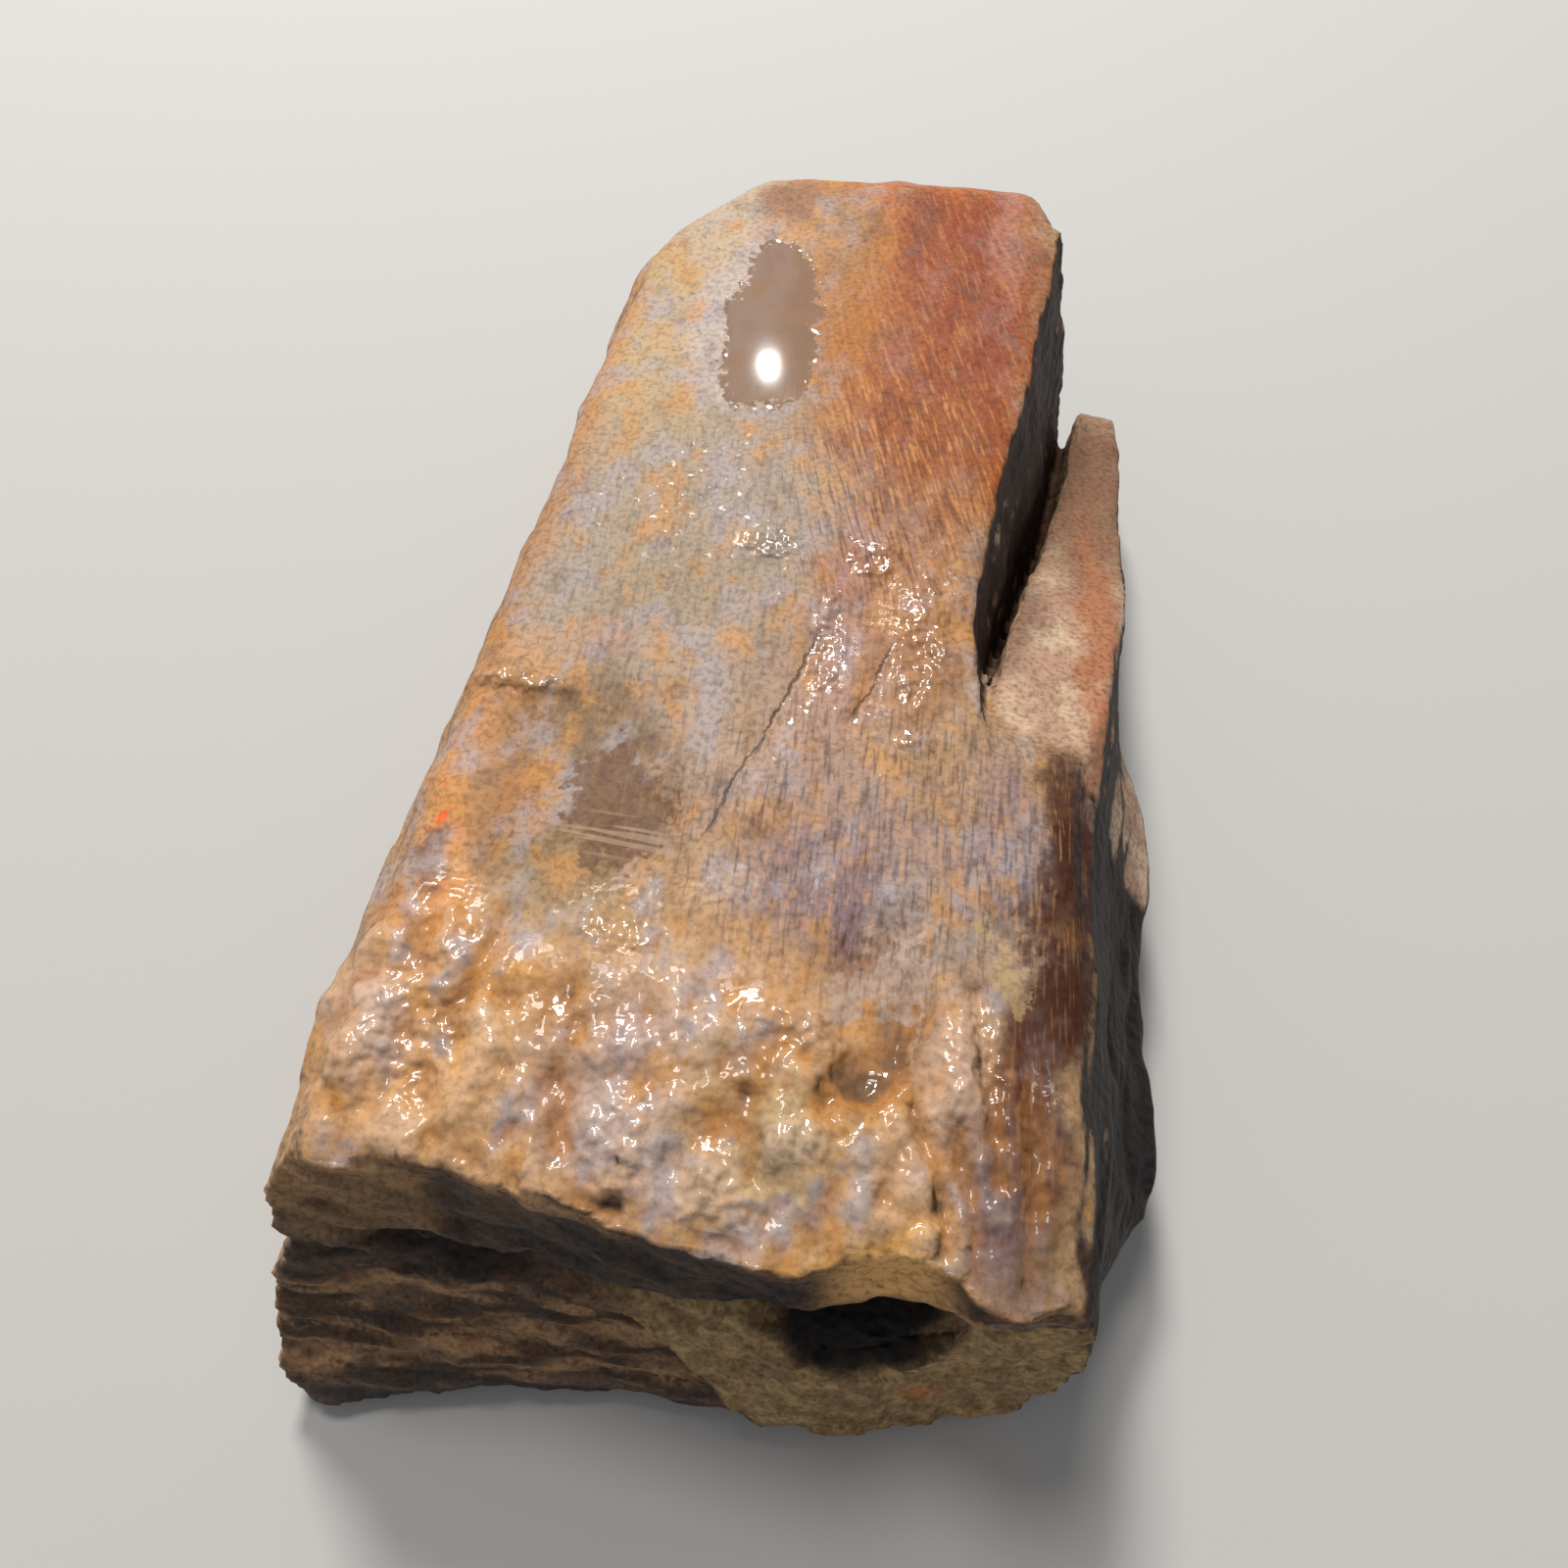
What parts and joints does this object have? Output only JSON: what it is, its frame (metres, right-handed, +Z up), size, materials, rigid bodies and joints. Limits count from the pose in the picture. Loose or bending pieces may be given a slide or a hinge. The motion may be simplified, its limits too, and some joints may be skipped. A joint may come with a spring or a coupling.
{
  "type": "polished agatized dinosaur bone",
  "caption": "Tapered block of agatized fossil bone: polished lumpy top, broken near end, rounded far end, and a spalled flank with a crevice.",
  "frame": {"origin": "under the middle of the stone's bounding box, on the surface it rests on", "axes": "+Y along the bone from the broken end to the rounded end, +Z up through the polished top, +X towards the spalled flank"},
  "size_m": [0.0494, 0.0954, 0.0243],
  "materials": {
    "agate_bone": "polished agate over fossil bone, glossy on top and dull on the broken end"
  },
  "bodies": {
    "root": {"agatized_bone": "agate_bone"}
  },
  "joints": []
}
